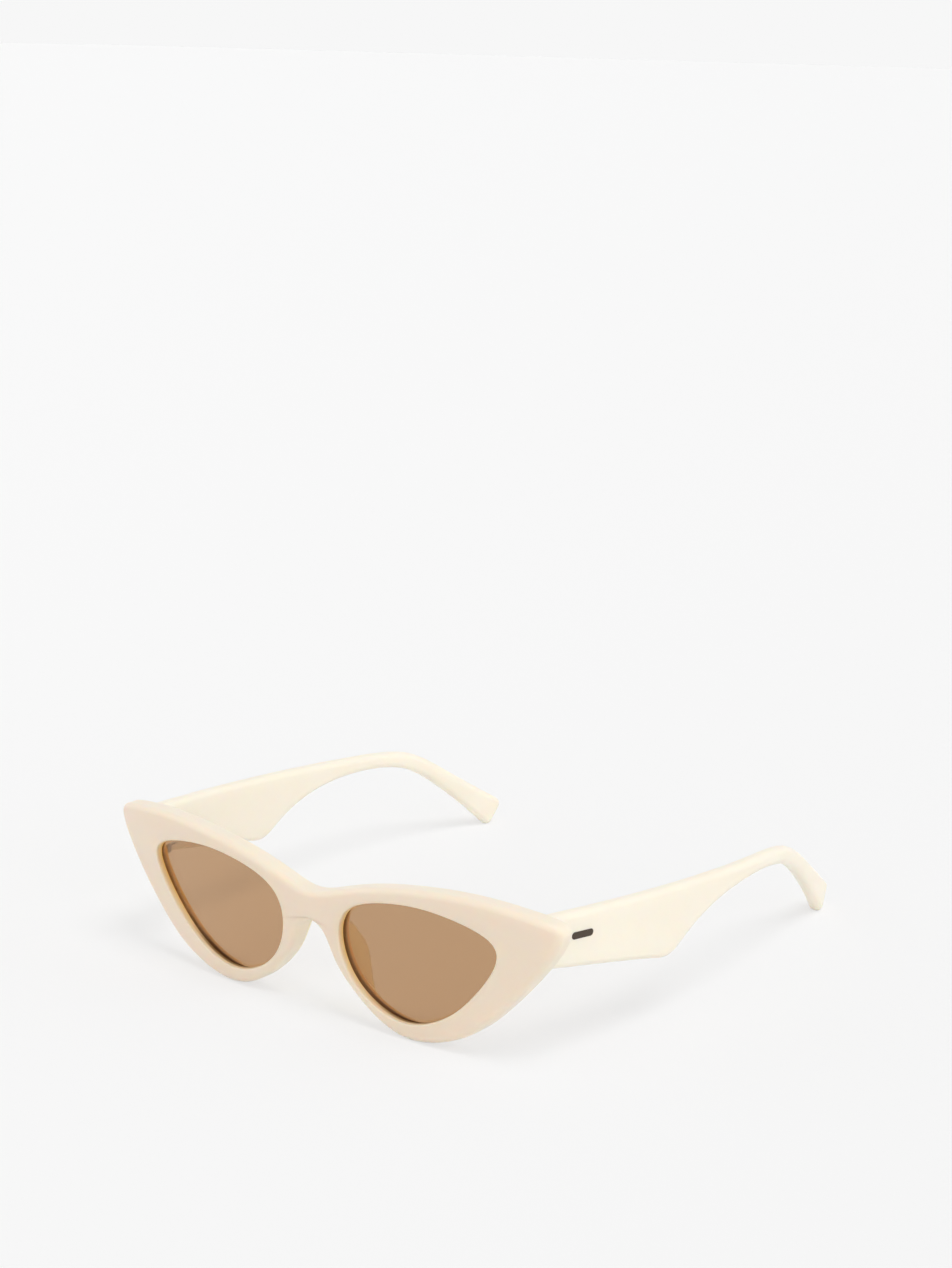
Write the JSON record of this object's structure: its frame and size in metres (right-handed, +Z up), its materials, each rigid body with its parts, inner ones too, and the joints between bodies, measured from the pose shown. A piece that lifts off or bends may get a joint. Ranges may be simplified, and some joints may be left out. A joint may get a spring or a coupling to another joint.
{
  "type": "cat eye sunglasses",
  "caption": "Cat eye sunglasses: thick moulded front with upswept tips, brown tinted lenses, bonded nose pads and broad tapering temples that fold on screw hinges.",
  "frame": {"origin": "on the table under the middle of the open sunglasses' bounding box", "axes": "+X to the wearer's left, +Y from the front towards the temple tips, +Z up; the front faces -Y"},
  "size_m": [0.145, 0.1582, 0.0422],
  "materials": {
    "front_plastic": "satin tumbled ivory plastic",
    "temple_plastic": "satin tumbled ivory plastic",
    "pad_plastic": "satin ivory plastic, bonded on",
    "lens": "polished brown tinted polycarbonate",
    "hinge_steel": "satin nickel silver",
    "screw_steel": "turned steel",
    "bar_metal": "dark plated, satin"
  },
  "bodies": {
    "front": {"front_frame": "front_plastic", "left_lens": "lens", "right_lens": "lens", "left_nose_pad": "pad_plastic", "right_nose_pad": "pad_plastic", "left_front_leaf": "hinge_steel", "right_front_leaf": "hinge_steel", "left_front_leaf_screws": "screw_steel", "right_front_leaf_screws": "screw_steel", "left_hinge_screw": "screw_steel", "right_hinge_screw": "screw_steel"},
    "left_temple_arm": {"left_temple": "temple_plastic", "left_temple_leaf": "hinge_steel", "left_temple_leaf_screws": "screw_steel", "left_temple_bar": "bar_metal"},
    "right_temple_arm": {"right_temple": "temple_plastic", "right_temple_leaf": "hinge_steel", "right_temple_leaf_screws": "screw_steel"}
  },
  "joints": [
    {"name": "left_temple_hinge", "type": "hinge", "parent": "front", "child": "left_temple_arm", "pos_m": [0.0608, -0.066, 0.0303], "axis": [0, 0, 1], "range_deg": [0, 91]},
    {"name": "right_temple_hinge", "type": "hinge", "parent": "front", "child": "right_temple_arm", "pos_m": [-0.0608, -0.066, 0.0303], "axis": [0, 0, -1], "range_deg": [0, 79]}
  ]
}
